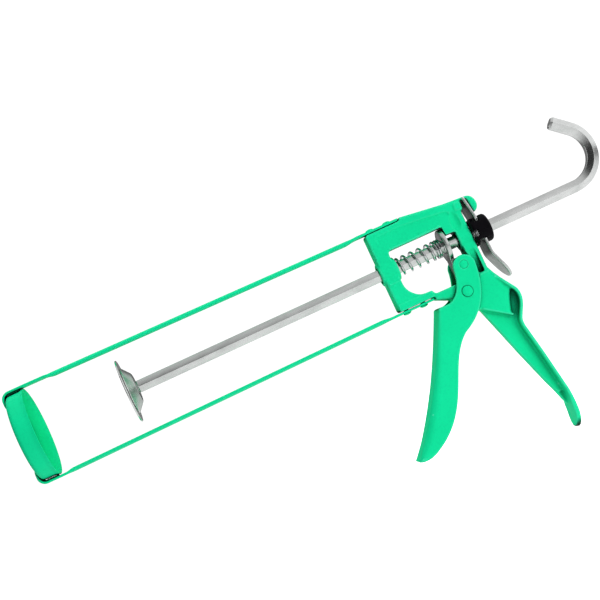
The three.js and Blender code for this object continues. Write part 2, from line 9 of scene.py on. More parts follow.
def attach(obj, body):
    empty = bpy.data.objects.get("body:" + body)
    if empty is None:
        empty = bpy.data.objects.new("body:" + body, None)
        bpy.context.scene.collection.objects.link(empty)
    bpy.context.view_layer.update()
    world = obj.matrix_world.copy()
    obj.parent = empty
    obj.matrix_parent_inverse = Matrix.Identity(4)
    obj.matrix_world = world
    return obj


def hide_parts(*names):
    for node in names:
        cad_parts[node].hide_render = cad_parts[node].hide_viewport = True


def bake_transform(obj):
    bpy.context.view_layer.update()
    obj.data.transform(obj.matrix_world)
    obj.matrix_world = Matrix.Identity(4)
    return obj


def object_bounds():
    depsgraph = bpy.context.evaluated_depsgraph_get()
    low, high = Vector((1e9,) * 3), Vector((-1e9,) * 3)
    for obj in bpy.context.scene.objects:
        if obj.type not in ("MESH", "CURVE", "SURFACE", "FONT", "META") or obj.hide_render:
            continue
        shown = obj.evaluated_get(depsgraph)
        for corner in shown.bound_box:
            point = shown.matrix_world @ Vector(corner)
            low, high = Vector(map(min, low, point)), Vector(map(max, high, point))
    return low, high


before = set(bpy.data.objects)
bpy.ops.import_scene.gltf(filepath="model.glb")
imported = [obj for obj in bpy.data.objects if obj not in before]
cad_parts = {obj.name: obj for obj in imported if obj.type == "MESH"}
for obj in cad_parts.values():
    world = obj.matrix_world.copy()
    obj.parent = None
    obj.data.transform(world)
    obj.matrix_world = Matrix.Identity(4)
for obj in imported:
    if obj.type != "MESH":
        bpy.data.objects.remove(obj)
cad_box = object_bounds()

MM = 0.001

# ---- Mesh code. Sizes are in mm and in the row frame: X along the rod, Y across the gun, Z up. ----

STRAIGHT_STEP = 3.0  # between the points of a straight stretch
SAME_POINT = 1e-9
NO_DIVISION_BY_ZERO = 1e-12
NEARLY_HALF, NEARLY_ALL = 0.49, 0.99
MITER_LIMIT = 0.5
WIRE_END = 0.55  # a cut wire's last section, as a share of the whole one
WELD_GAP = 1e-7  # in metres, like all of Blender's own sizes


def curve(start, *parts, step=0.8):
    """[x, z] points of an outline. A part holds the control points, if any, and the end of a stretch."""
    points = [np.array(start, float)]
    for part in parts:
        control = [points[-1], *np.array(part, float).reshape(-1, 2)]
        reach = sum(np.linalg.norm(b - a) for a, b in zip(control, control[1:]))
        n = max(1, round(reach / (step if len(control) > 2 else STRAIGHT_STEP)))
        for t in np.linspace(0, 1, n + 1)[1:]:
            level = control
            while len(level) > 1:
                level = [a + (b - a) * t for a, b in zip(level, level[1:])]
            points.append(level[0])
    return points


def arc(cx, cz, r, start, end, step=12):
    """[x, z] points of an arc, with its angles in degrees."""
    angles = np.radians(np.linspace(start, end, max(2, round(abs(end - start) / step)) + 1))
    return [(cx + r * math.cos(a), cz + r * math.sin(a)) for a in angles]


def fillet(points, r, k=4, closed=True):
    """The same outline with each corner rounded, by r or by that corner's own entry in r."""
    p = np.array(points, float)
    out = []
    for i, here in enumerate(p):
        radius = r[i] if isinstance(r, (list, tuple)) else r
        ends = not closed and i in (0, len(p) - 1)
        before, after = p[i - 1] - here, p[(i + 1) % len(p)] - here
        la, lb = np.linalg.norm(before), np.linalg.norm(after)
        if radius <= 0 or ends or min(la, lb) < SAME_POINT:
            out.append(here)
            continue
        cut = min(radius, la * NEARLY_HALF, lb * NEARLY_HALF)
        a, b = here + before / la * cut, here + after / lb * cut
        for t in np.linspace(0, 1, k + 1):
            out.append(a * (1 - t) ** 2 + here * 2 * t * (1 - t) + b * t * t)
    return out


def loft(rings, closed=False):
    """Vertices and faces of a skin over rings that have the same number of points."""
    n = len(rings[0])
    verts = np.concatenate([np.asarray(r, float) for r in rings])
    faces = []
    last = len(rings) if closed else len(rings) - 1
    for i in range(last):
        a, b = i * n, ((i + 1) % len(rings)) * n
        faces += [(a + j, a + (j + 1) % n, b + (j + 1) % n, b + j) for j in range(n)]
    if not closed:
        faces += [tuple(range(n))[::-1], tuple(range(len(verts) - n, len(verts)))]
    return verts, faces


def plate(outline, low, high, r=0.0, k=3, along="Y"):
    """An outline with thickness, its rim rounded by r, one number or one for each point."""
    p = np.array(outline, float)
    before, after = p - np.roll(p, 1, 0), np.roll(p, -1, 0) - p
    before /= np.linalg.norm(before, axis=1)[:, None] + NO_DIVISION_BY_ZERO
    after /= np.linalg.norm(after, axis=1)[:, None] + NO_DIVISION_BY_ZERO
    turn = before + after
    turn /= np.linalg.norm(turn, axis=1)[:, None] + NO_DIVISION_BY_ZERO
    area = np.sum(p[:, 0] * np.roll(p[:, 1], -1) - p[:, 1] * np.roll(p[:, 0], -1))
    outward = np.stack([turn[:, 1], -turn[:, 0]], 1) * (1 if area > 0 else -1)
    miter = 1 / np.maximum(np.sum(turn * after, axis=1), MITER_LIMIT)
    radius = np.broadcast_to(np.array(r, float), (len(p),))
    angles = np.radians(np.linspace(0, 90, k + 1)) if radius.max() > 0 else [math.pi / 2]
    rings = []
    for side in (-1, 1):
        for angle in angles if side < 0 else angles[::-1]:
            inset = radius * (1 - math.sin(angle))
            level = radius * (1 - math.cos(angle))
            flat = p - outward * (inset * miter)[:, None]
            depth = low + level if side < 0 else high - level
            if along == "Y":
                rings.append(np.stack([flat[:, 0], depth, flat[:, 1]], 1))
            else:
                rings.append(np.stack([depth, flat[:, 0], flat[:, 1]], 1))
    return loft(rings)


def lathe(profile, axis="X", at=(0, 0, 0), sides=72, closed=False):
    """A profile of (distance along the axis, radius) turned about the axis."""
    turn = np.linspace(0, 2 * math.pi, sides, endpoint=False)
    main = "XYZ".index(axis)
    a, b = [i for i in range(3) if i != main]
    rings = []
    for along, radius in profile:
        ring = np.zeros((sides, 3))
        ring[:, main] = along
        ring[:, a] = radius * np.cos(turn)
        ring[:, b] = radius * np.sin(turn)
        rings.append(ring + np.array(at))
    return loft(rings, closed)


def bar_section(half_w, thick, r, k=3, m=1):
    """(y, n) points of a rounded rectangle, with m spans along each long side."""
    h = thick / 2
    r = min(r, h * NEARLY_ALL, half_w * NEARLY_ALL)
    points = []
    corners = [(half_w - r, h - r), (r - half_w, h - r), (r - half_w, r - h), (half_w - r, r - h)]
    for i, (cy, cn) in enumerate(corners):
        for a in np.radians(90 * i + np.linspace(0, 90, k + 1)):
            points.append((cy + r * math.cos(a), cn + r * math.sin(a)))
        if i in (0, 2):
            flat = cn + r if i == 0 else cn - r
            points += [(cy - 2 * cy * t, flat) for t in np.linspace(0, 1, m + 1)[1:-1]]
    return np.array(points)


def sweep(path, sections):
    """A bar with (y, n) sections, one for all stations or one each, along a path of [x, z] points. n is
    to the left of the path."""
    p = np.array(path, float)
    along = np.gradient(p, axis=0)
    along /= np.linalg.norm(along, axis=1)[:, None]
    rings = []
    for i, here in enumerate(p):
        s = np.asarray(sections[i] if isinstance(sections, list) else sections)
        left = (-along[i][1], along[i][0])
        rings.append(np.stack([here[0] + s[:, 1] * left[0], s[:, 0], here[1] + s[:, 1] * left[1]], 1))
    return loft(rings)


def coil(x0, mean_r, wire_r, coils, steps=22, sides=10):
    """A spring along X of round wire. coils is a list of (turns, pitch)."""
    turns = sum(n for n, _ in coils)
    edges_t = np.concatenate([[0], np.cumsum([n for n, _ in coils])])
    edges_x = x0 + wire_r + np.concatenate([[0], np.cumsum([n * p for n, p in coils])])
    t = np.linspace(0, turns, round(turns * steps) + 1)
    x = np.interp(t, edges_t, edges_x)
    reach = steps // 4
    window = np.ones(2 * reach + 1) / (2 * reach + 1)
    soft = np.convolve(np.pad(x, reach, mode="reflect", reflect_type="odd"), window, mode="valid")
    angle = 2 * math.pi * t
    centre = np.stack([soft, mean_r * np.cos(angle), mean_r * np.sin(angle)], 1)
    tangent = np.gradient(centre, axis=0)
    tangent /= np.linalg.norm(tangent, axis=1)[:, None]
    out = np.stack([np.zeros_like(t), np.cos(angle), np.sin(angle)], 1)
    side = np.cross(tangent, out)
    a = np.linspace(0, 2 * math.pi, sides, endpoint=False)
    rings = []
    for i in range(len(t)):
        scale = WIRE_END if i in (0, len(t) - 1) else 1
        ring = np.outer(np.cos(a), out[i]) + np.outer(np.sin(a), side[i])
        rings.append(centre[i] + ring * wire_r * scale)
    return loft(rings)


def mesh_from(name, solids):
    """One mesh, in metres, with each solid's faces turned outward."""
    verts, faces, start = [], [], 0
    for v, f in solids:
        verts.append(np.asarray(v))
        faces += [tuple(i + start for i in face) for face in f]
        start += len(v)
    mesh = bpy.data.meshes.new(name)
    mesh.from_pydata((np.concatenate(verts) * MM).tolist(), [], faces)
    bm = bmesh.new()
    bm.from_mesh(mesh)
    bmesh.ops.remove_doubles(bm, verts=bm.verts, dist=WELD_GAP)
    bmesh.ops.recalc_face_normals(bm, faces=bm.faces)
    bm.to_mesh(mesh)
    bm.free()
    return mesh


def settled(obj):
    """Applies the object's modifiers to its mesh."""
    graph = bpy.context.evaluated_depsgraph_get()
    graph.update()
    mesh = bpy.data.meshes.new_from_object(obj.evaluated_get(graph))
    obj.modifiers.clear()
    obj.data = mesh
    mesh.name = obj.name


def placed(name, solids):
    """A new object in the scene, made of the solids."""
    obj = bpy.data.objects.new(name, mesh_from(name, solids))
    bpy.context.scene.collection.objects.link(obj)
    return obj


def carve(solid, *cutters):
    """The solid with the cutters' shapes taken out of it, one after another."""
    obj = placed("solid", [solid])
    for cutter in cutters:
        tool = placed("cutter", [cutter])
        cut = obj.modifiers.new("cut", "BOOLEAN")
        cut.operation, cut.solver, cut.object = "DIFFERENCE", "EXACT", tool
        settled(obj)
        bpy.data.objects.remove(tool)
    verts = np.array([v.co for v in obj.data.vertices]) / MM
    faces = [tuple(p.vertices) for p in obj.data.polygons]
    bpy.data.objects.remove(obj)
    return verts, faces


def piece(name, solids, material, body, nodes, voxel=0.0, smooth=0, sharp=32, ride=True):
    """A finished piece. With a voxel size its solids become one skin, smoothed as a casting is."""
    obj = placed(name, solids)
    if voxel:
        skin = obj.modifiers.new("skin", "REMESH")
        skin.mode, skin.voxel_size = "VOXEL", voxel * MM
        ease = obj.modifiers.new("ease", "SMOOTH")
        ease.factor, ease.iterations = 0.5, smooth
        settled(obj)
    obj.data.shade_smooth()
    if not voxel:
        obj.data.set_sharp_from_angle(angle=math.radians(sharp))
    obj.data.materials.clear()
    obj.data.materials.append(material)
    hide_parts(*nodes)
    if ride:
        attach(obj, body)
    return obj


def twins(verts, faces):
    """A solid made on the -Y side, and its twin on the +Y side."""
    return [(verts, faces), (verts * np.array([1, -1, 1]), faces)]


# ---- Materials. Noise scales are per metre, and colours are linear. ----

# The last colour is a painted highlight for the raised edges of a casting.
PAINT_LOW, PAINT_HIGH, PAINT_EDGE_HIGHLIGHT = (0.0046, 0.800, 0.352), (0.0062, 0.860, 0.388), (0.08, 0.94, 0.55)
PAINTED_SHADE_REACH = 9.0  # how far the paint's painted shade in hollows looks for open space
# painted highlight colour for the rim of a pressed plate
PLATE_RIM_HIGHLIGHT = (0.86, 0.88, 0.87)
BLOCK_LOW, BLOCK_HIGH = (0.0012, 0.0008, 0.0016), (0.0026, 0.0018, 0.0034)
# painted highlight colour for the block's edges
BLOCK_EDGE_HIGHLIGHT = (0.012, 0.010, 0.014)


class Shader:
    """A Principled material whose colour, roughness and bump come from its nodes."""

    def __init__(self, name, **values):
        self.material = bpy.data.materials.new(name)
        self.material.use_nodes = True
        self.tree = self.material.node_tree
        self.main = self.tree.nodes["Principled BSDF"]
        for key, value in values.items():
            self.main.inputs[key.replace("_", " ")].default_value = value
        self.place = self.tree.nodes.new("ShaderNodeTexCoord").outputs["Object"]

    def node(self, kind, inputs=None, **settings):
        """A new shader node. An input is a plain value or another node's socket."""
        made = self.tree.nodes.new("ShaderNode" + kind)
        for key, value in settings.items():
            setattr(made, key, value)
        for key, value in (inputs or {}).items():
            if isinstance(value, bpy.types.NodeSocket):
                self.tree.links.new(value, made.inputs[key])
            else:
                made.inputs[key].default_value = value
        return made

    def noise(self, scale, detail=3.0, stretch=(1, 1, 1), rough=0.5):
        """Noise fixed to the piece. A stretch below 1 draws it out along that axis."""
        spread = self.node("Mapping", {"Vector": self.place, "Scale": stretch})
        return self.node(
            "TexNoise",
            {"Vector": spread.outputs[0], "Scale": scale, "Detail": detail, "Roughness": rough},
        ).outputs["Fac"]

    def ramp(self, value, stops):
        """A colour ramp with stops of (place, grey level or colour)."""
        made = self.node("ValToRGB", {"Fac": value})
        stops = sorted(stops)
        ramp = made.color_ramp
        while len(ramp.elements) < len(stops):
            ramp.elements.new(0.5)
        for element, (at, colour) in zip(ramp.elements, stops):
            element.position = at
            element.color = (*colour, 1) if isinstance(colour, tuple) else (colour,) * 3 + (1,)
        return made.outputs["Color"]

    def mix(self, kind, share, a, b):
        """Two colours mixed, b by its share."""
        made = self.node("Mix", data_type="RGBA", blend_type=kind)
        for at, value in ((0, share), (6, a), (7, b)):
            if isinstance(value, bpy.types.NodeSocket):
                self.tree.links.new(value, made.inputs[at])
            else:
                made.inputs[at].default_value = value if at == 0 else (*value, 1)
        return made.outputs[2]

    def bump(self, *layers):
        """Bump layers of (height, depth in mm)."""
        normal = None
        for height, depth in layers:
            inputs = {"Height": height, "Strength": 1.0, "Distance": depth * MM}
            if normal is not None:
                inputs["Normal"] = normal
            normal = self.node("Bump", inputs).outputs[0]
        self.to("Normal", normal)

    def to(self, key, value):
        """Links a value to one of the material's own inputs."""
        self.tree.links.new(value, self.main.inputs[key])


def green_paint(name, edges):
    """Semi-gloss green paint: slight mottle, orange peel and painted shade in hollows, and, on a casting, a
    painted highlight along raised edges."""
    s = Shader(name, Metallic=0.0, Specular_IOR_Level=0.05)
    base = s.ramp(s.noise(38, 4), [(0.3, PAINT_LOW), (0.7, PAINT_HIGH)])
    speck = s.ramp(s.noise(900, 2), [(0.36, 0.88), (0.48, 1.0)])
    colour = s.mix("MULTIPLY", 0.35, base, speck)
    if edges:
        # painted highlight: a paler colour where pointiness finds a raised edge
        bend = s.node("NewGeometry").outputs["Pointiness"]
        edge_highlight = s.ramp(bend, [(0.506, 0.0), (0.572, 0.80)])
        colour = s.mix("MIX", edge_highlight, colour, PAINT_EDGE_HIGHLIGHT)
    # painted shade: the base colour is darkened where ambient occlusion finds little open space, in
    # hollows, gaps and under overhangs
    open_sky = s.node("AmbientOcclusion", {"Distance": PAINTED_SHADE_REACH * MM}, samples=8).outputs["AO"]
    painted_shade = s.ramp(open_sky, [(0.20, 0.02), (0.50, 0.25), (0.77, 1.0)])
    s.to("Base Color", s.mix("MULTIPLY", 1.0, colour, painted_shade))
    s.to("Roughness", s.ramp(s.noise(420, 3), [(0.3, 0.46), (0.7, 0.60)]))
    s.bump((s.noise(650, 2), 0.030), (s.noise(2600, 2), 0.005))
    return s.material


def plated_steel(name, low, high, grain, colour_low, colour_high, rim=False):
    """Bright zinc plate over drawn steel: faint streaks along the draw, small duller spots and, on a
    pressed plate, a painted highlight along its rim."""
    s = Shader(name, Metallic=1.0)
    streak = s.noise(900, 4, grain)
    cloud = s.noise(160, 5, (0.5, 1, 1), 0.6)
    colour = s.ramp(cloud, [(0.32, colour_low), (0.62, colour_high)])
    pits = s.ramp(s.noise(1500, 3), [(0.30, 0.80), (0.40, 1.0)])
    colour = s.mix("MULTIPLY", 0.4, colour, pits)
    if rim:
        # painted highlight: a paler colour where pointiness finds the plate's sharp rim
        bend = s.node("NewGeometry").outputs["Pointiness"]
        colour = s.mix("MIX", s.ramp(bend, [(0.505, 0.0), (0.55, 1.0)]), colour, PLATE_RIM_HIGHLIGHT)
    s.to("Base Color", colour)
    s.to("Roughness", s.ramp(s.mix("MIX", 0.5, streak, cloud), [(0.3, low), (0.7, high)]))
    s.bump((streak, 0.006), (s.noise(1800, 3), 0.002))
    return s.material


def black_plastic(name):
    """Moulded black plastic with a fine spark-eroded grain and a painted highlight along its edges."""
    s = Shader(name, Metallic=0.0, Specular_IOR_Level=0.07)
    base = s.ramp(s.noise(240, 4), [(0.3, BLOCK_LOW), (0.7, BLOCK_HIGH)])
    # painted highlight: a paler colour where pointiness finds the block's edges
    bend = s.node("NewGeometry").outputs["Pointiness"]
    s.to("Base Color", s.mix("MIX", s.ramp(bend, [(0.53, 0.0), (0.62, 0.7)]), base, BLOCK_EDGE_HIGHLIGHT))
    s.to("Roughness", s.ramp(s.noise(1100, 3), [(0.3, 0.42), (0.7, 0.58)]))
    s.bump((s.noise(3200, 3), 0.012), (s.noise(500, 2), 0.02))
    return s.material


CAST_PAINT = green_paint("green_paint_cast", True)
SHEET_PAINT = green_paint("green_paint_sheet", False)
ROD_STEEL = plated_steel(
    "zinc_rod", 0.16, 0.30, (0.03, 1, 1), (0.62, 0.64, 0.63), (0.78, 0.79, 0.785)
)
PLATE_STEEL = plated_steel(
    "zinc_plate", 0.22, 0.34, (1, 1, 0.12), (0.22, 0.26, 0.235), (0.42, 0.46, 0.435), rim=True
)
WIRE_STEEL = plated_steel(
    "spring_wire", 0.10, 0.22, (0.2, 1, 1), (0.50, 0.51, 0.52), (0.76, 0.77, 0.78)
)
BLACK = black_plastic("black_block")

# ---- Cradle ----

CUP_FRONT_X, CUP_FLARE_X, CUP_LIP_X = -64.6, -56.0, -53.6
CUP_R, CUP_LIP_R, CUP_HOLE_R, CUP_WALL = 26.2, 26.8, 15.0, 0.8
HOLE_RIM_W, HOLE_RIM_T, LIP_T = 0.4, 1.3, 0.7
inside_r, inside_x = CUP_R - CUP_WALL, CUP_FRONT_X + CUP_WALL
rim_r, rim_x = CUP_HOLE_R + HOLE_RIM_W, CUP_FRONT_X + HOLE_RIM_T
cup = fillet(
    [
        (CUP_FRONT_X, CUP_HOLE_R), (CUP_FRONT_X, CUP_R), (CUP_FLARE_X, CUP_R), (CUP_LIP_X, CUP_LIP_R),
        (CUP_LIP_X, CUP_LIP_R - LIP_T), (CUP_FLARE_X, inside_r), (inside_x, inside_r),
        (inside_x, rim_r), (rim_x, rim_r), (rim_x, CUP_HOLE_R),
    ],
    [0.3, 3.2, 2.0, 0.3, 0.3, 2.0, 2.4, 0.3, 0.2, 0.2],
    6,
)
piece("cup_ring", [lathe(cup, sides=144, closed=True)], SHEET_PAINT, "frame", ["front_cup"])

STRAP_T, STRAP_HALF_W, STRAP_EDGE_R = 1.5, 6.3, 0.45
BEND_X, BEND_Z, BEND_R = -61.4, 23.6, 4.25  # the strap's bend over the cup's front edge
STRAP_TIP_Z, STRAP_FRONT_Z, STRAP_REAR_Z = 19.5, 27.85, 25.75
LEVEL_END_X, COLUMN_X = -51.6, 162.3  # between them the strap slopes down
DISH_EDGE, DISH_RIB, DISH_RIB_HALF_W = 1.0, 0.25, 3.2  # the channel pressed into the strap
DISH_START, DISH_REAR_X = 5, (150, 158)
RIVET_FOOT_Z, RIVET_HEAD_Z, RIVET_R, RIVET_HEAD_R = 20.8, 26.5, 1.5, 2.5
RIVET_X = (("front", 167.0), ("rear", 177.9))


def strap_line():
    """The upper strap's middle line, from its tip in front of the cup to its rear end."""
    front_x = BEND_X - BEND_R
    line = [(front_x, STRAP_TIP_Z + up) for up in (0, 0.5, 2.0)]
    line += arc(BEND_X, BEND_Z, BEND_R, 180, 90, 9)
    line += [(x, STRAP_FRONT_Z) for x in np.arange(-59.5, -51.5, 2)]
    slope = [LEVEL_END_X, COLUMN_X], [STRAP_FRONT_Z, STRAP_REAR_Z]
    line += [(x, np.interp(x, *slope)) for x in np.arange(-50, 162, 1.5)]
    line += [(x, STRAP_REAR_Z) for x in (163.5, 166, 170, 176, 181, 183, 183.9, 184.4)]
    return np.array(line)


def strap_sections(line, run_out):
    """The strap's sections: narrower at both ends, and dished from behind the cup to the casting."""
    ends = {0: 4.0, 1: 5.2, len(line) - 2: 5.7, len(line) - 1: 4.6}
    sections = []
    for i, (x, _) in enumerate(line):
        section = bar_section(ends.get(i, STRAP_HALF_W), STRAP_T, STRAP_EDGE_R, 3, 8)
        dish = np.interp(x, [run_out, run_out + DISH_START, *DISH_REAR_X], [0, 1, 1, 0])
        dish = dish * dish * (3 - 2 * dish)
        across = np.abs(section[:, 0])
        section[:, 1] -= DISH_EDGE * dish * (across / STRAP_HALF_W) ** 3
        section[:, 1] += DISH_RIB * dish * (1 - np.minimum(across / DISH_RIB_HALF_W, 1) ** 2)
        sections.append(section)
    return sections


def turned_over(solid, side):
    """The solid as it is above the rod, for side 1, or turned over below it, for side -1."""
    verts, faces = solid
    return verts * np.array([1, 1, side]), faces


rivet_head = [(RIVET_FOOT_Z, 0), (RIVET_FOOT_Z, RIVET_R), (RIVET_HEAD_Z, RIVET_R), (RIVET_HEAD_Z, 2.35)]
rivet_head += [(26.75 + math.sin(a), RIVET_HEAD_R * math.cos(a)) for a in np.radians(np.linspace(0, 90, 9))]
# A pad that fills the gap between the strap's front and the cup; the paint's painted shade turns it into
# the dark band in that gap.
strap_gap_pad = plate(fillet([(-62.6, 26.3), (-55.4, 26.3), (-55.4, 27.3), (-62.6, 27.3)], 0.2), -4.8, 4.8, 0.3)
line = strap_line()
for place, side, run_out in (("upper", 1, -39.6), ("lower", -1, -50.5)):
    strap = sweep(line, strap_sections(line, run_out))
    piece(
        f"strap_{place}", [turned_over(strap, side), turned_over(strap_gap_pad, side)], SHEET_PAINT, "frame",
        [f"cradle_strap_{place}"], sharp=40,
    )
    for end, x in RIVET_X:
        rivet = lathe(rivet_head, "Z", (x, 0, 0), 40)
        piece(
            f"rivet_{place}_{end}", [turned_over(rivet, side)], SHEET_PAINT, "frame",
            [f"strap_rivet_{place}_{end}"],
        )

# ---- Casting ----

BODY_HALF_W, WEB_HALF_W, THIN_WEB_HALF_W, FLANGE_T, FLANGE_TIP_T = 6.3, 2.6, 1.3, 1.8, 2.9
EDGE_ROUND, HUMP_ROUND = 0.9, 3.7
BOSS_R, BOSS_EDGE, BORE_R = 7.3, 0.8, 4.5
FRONT_BOSS_X, REAR_BOSS_X = (161.1, 172.6), (211.8, 220.7)
TIP_ARC_Z, TIP_R = 120.4, 8.7  # the flange's round end, below the rod by TIP_ARC_Z
THROUGH = 12  # half the length of a cutter that goes right through
OUTSIDE = -9.0  # where a pocket's cutter starts, clear of the casting's side
CASTING_VOXEL = 0.46
body_line = curve(
    (162.3, -23.4), (162.6, -24.75, 163.8, -24.75), (184.7, -24.75), (185.0, -26.6), (193.5, -30.4),
    (199.0, -40.5, 207.0, -43.2), (222.5, -53.6), (224.3, -48.6), (226.8, -41.6), (228.4, -37.2),
    (226.6, -33.4), (220.7, -22.4), (220.7, 15.0), (222.3, 15.0), (222.3, 20.6), (226.2, 20.6),
    (227.1, 11.1), (228.3, 11.1), (231.4, 12.6, 231.4, 15.8), (231.0, 21.2, 226.6, 21.9),
    (212.7, 22.8), (185.0, 26.45), (184.7, 24.75), (163.8, 24.75), (162.6, 24.75, 162.3, 23.4),
    (162.3, -22.0),
)[:-1]
window = fillet(
    [(170.8, 10.9), (206.0, 10.9), (206.0, 5.4), (212.7, 5.4), (212.7, -23.6), (186.2, -23.2),
     (184.6, -20.6), (177.2, -20.3), (170.8, -14.0)],
    [2.4, 1.4, 0.6, 1.6, 1.0, 1.0, 1.0, 4.0, 6.0],
)
relief = fillet([(167.4, 8.0), (167.4, 21.2), (184.0, 21.2), (213.4, 18.0), (213.4, 5.6)],
                [0, 1.2, 0.5, 3.2, 0])


def body_edge(x, z):
    """How far the body's edge is rounded: more in the hollow of the hump."""
    if z >= -34:
        return EDGE_ROUND
    soft = [EDGE_ROUND, HUMP_ROUND, HUMP_ROUND, EDGE_ROUND]
    return float(np.interp(x, [222.0, 223.5, 226.5, 228.0], soft))


flange_line = np.array(curve(
    (221.0, -22.6), (223.6, -28.4, 226.0, -32.4), (228.2, -36.2, 230.3, -39.2),
    (233.2, -44.0, 229.6, -51.0), (227.6, -54.6, 226.2, -57.4), (225.4, -60.0, 226.5, -65.0),
    (229.3, -80.3), (233.4, -106.0), (234.1, -113.0, 233.5, -120.0), (232.8, -125.0, 231.6, -129.0),
))


def half_width(z):
    """Half the flange's width at height z: it spreads below the shoulder and ends in a round tip."""
    wide = np.interp(-z, [22, 27, 31, 35, 42, TIP_ARC_Z], [BODY_HALF_W, BODY_HALF_W, 7.4, 8.5, 9.0, TIP_R])
    tip = TIP_R ** 2 - max(-z - TIP_ARC_Z, 0) ** 2
    return max(min(wide, math.sqrt(max(tip, 0.8))), 0.9)


def flange_thick(z):
    """The flange's thickness at height z: it is thicker at its tip."""
    return float(np.interp(-z, [106, 116], [FLANGE_T, FLANGE_TIP_T]))


def boss(x0, x1):
    """A round boss along the rod, with chamfered ends."""
    return lathe(
        [
            (x0, 0), (x0, BOSS_R - BOSS_EDGE), (x0 + 0.7, BOSS_R), (x1 - 0.7, BOSS_R),
            (x1, BOSS_R - BOSS_EDGE), (x1, 0),
        ],
        sides=64,
    )


def sloped_pocket(outline, at, depth, rise_x, rise_z):
    """Cutters for a pocket in both sides of the casting. Its floor is depth deep at the point at = (x, z),
    and deeper by rise_x for each mm back and by rise_z for each mm up."""
    verts, faces = plate(outline, OUTSIDE, OUTSIDE + 4)
    inner = verts[:, 1] > OUTSIDE + 3
    floor = depth + rise_x * (verts[:, 0] - at[0]) + rise_z * (verts[:, 2] - at[1])
    verts[inner, 1] = np.maximum(floor[inner] - BODY_HALF_W, OUTSIDE + 0.1)
    return twins(verts, faces)


flange = sweep(
    [(x - flange_thick(z) / 2, z) for x, z in flange_line],
    [bar_section(half_width(z), flange_thick(z), 0.75, 4) for _, z in flange_line],
)
web_thick = curve(
    (206.5, -40.0), (206.9, -43.6), (217.1, -76.2), (224.5, -98.2), (226.6, -103.6),
    (227.8, -106.6, 229.6, -106.2), (232.2, -106.0), (231.4, -98.0), (228.4, -80.3), (225.2, -63.0),
    (224.8, -57.0), (228.0, -51.0), (230.2, -46.0), (228.8, -38.0), (224.0, -34.0),
)
web_thin = curve((217.1, -76.2), (224.5, -98.2), (229.8, -114.0), (233.0, -114.2), (232.2, -104.0),
                 (228.4, -80.3))

lug = plate(fillet([(216.9, 15.6), (222.2, 14.9), (222.2, 20.9), (217.4, 21.2)], 1.8), -7.3, 7.3, 0.9)


def ridge(outline, r, half_w):
    """A low ridge across the casting, standing out of both its sides."""
    return plate(fillet(outline, r), -half_w, half_w, r)


ridges = [
    ridge([(162.7, -24.6), (185.0, -24.6), (185.0, -20.6), (162.7, -20.0)], 0.5, 7.0),
    ridge([(163.2, -8.1), (170.6, -8.1), (170.6, -7.3), (163.2, -7.3)], 0.2, 6.75),
    ridge([(172.0, 10.95), (205.5, 10.95), (205.5, 12.0), (172.0, 12.0)], 0.3, 6.7),
    ridge([(207.6, -43.3), (222.6, -53.9), (223.0, -53.0), (208.2, -42.4)], 0.3, 6.75),
    ridge([(214.0, -24.8), (219.6, -24.6), (220.4, -23.6), (214.0, -23.8)], 0.3, 6.8),
]
pocket = fillet([(214.7, -8.0), (218.3, -8.0), (218.3, -23.0), (214.7, -23.0)], 0.8)
groove = lathe(
    [(4.2, 0), (4.2, 1.9), (5.4, 2.7), (7.2, 3.4), (10.5, 3.6), (13.4, 3.4), (15.4, 2.7), (16.8, 1.9),
     (16.8, 0)],
    "Z", (214.5, -8.1, 0), 48,
)
bore = lathe([(150, 0), (150, BORE_R), (230, BORE_R), (230, 0)])
body = carve(
    plate(body_line, -BODY_HALF_W, BODY_HALF_W, [body_edge(x, z) for x, z in body_line]),
    plate(window, -THROUGH, THROUGH),
    *sloped_pocket(relief, (213.4, 18.0), 0.95, 0.0144, 0.058), *twins(*groove),
    *sloped_pocket(pocket, (216.5, -23.0), 4.2, 0.0, -0.25), bore,
)
piece(
    "handle_casting",
    [
        body, carve(boss(*FRONT_BOSS_X), bore), carve(boss(*REAR_BOSS_X), bore), flange, lug, *ridges,
        plate(web_thick, -WEB_HALF_W, WEB_HALF_W, 0.4),
        plate(web_thin, -THIN_WEB_HALF_W, THIN_WEB_HALF_W, 0.4),
    ],
    CAST_PAINT, "frame", ["handle_body"], voxel=CASTING_VOXEL, smooth=4,
)

# ---- Trigger and drive ----

PIVOT, PIN = (203.0, -29.7), (207.8, -14.6)
CHEEK_Y, CHANNEL_HALF_W, SPINE_T = 9.5, 7.0, 2.6
PIVOT_HOLE_R, PIN_HOLE_R = 2.8, 2.48
RIVET_DISH_Y, RIVET_DISH_R = 9.1, 3.7
TRIGGER_VOXEL = 0.42
front = curve((182.6, -33.4), (159.6, -80.0, 135.2, -107.9), step=2.0)
crown = arc(207.9, -15.6, 6.8, 0, 180, 9)
neck = curve((201.1, -15.6), (198.8, -30.6, 189.5, -32.0), (184.6, -31.8), (183.0, -32.0, 182.6, -33.4))
heel = curve(
    (135.2, -107.9), (141.0, -111.0, 149.5, -105.8), (176.5, -91.5, 175.0, -63.0, 192.4, -50.9),
    (208.5, -43.5, 213.2, -30.5, 214.7, -15.6), step=2.0,
)
cheek = crown[:-1] + neck[:-1] + front[:-1] + heel[:-1]


def trigger_rounding():
    """How far each point of the trigger's outline is rounded: most along the front, where fingers rest."""
    down = np.linspace(0, 1, len(front))[:-1]
    tip = range(len(heel) - 1)
    return [
        *[0.55] * (len(crown) - 1 + len(neck) - 1),
        *[float(np.interp(t, [0, 0.1, 0.45, 0.85, 1], [1.2, 1.8, 4.2, 4.8, 2.4])) for t in down],
        *[float(np.interp(i, [0, 3, 8], [2.2, 2.4, 0.6])) for i in tip],
    ]


def spine_inside():
    """The inner face of the trigger's spine, SPINE_T behind its front."""
    inner = np.array(front)
    lean = np.gradient(inner, axis=0)
    lean /= np.linalg.norm(lean, axis=1)[:, None]
    return inner + np.stack([-lean[:, 1], lean[:, 0]], 1) * SPINE_T


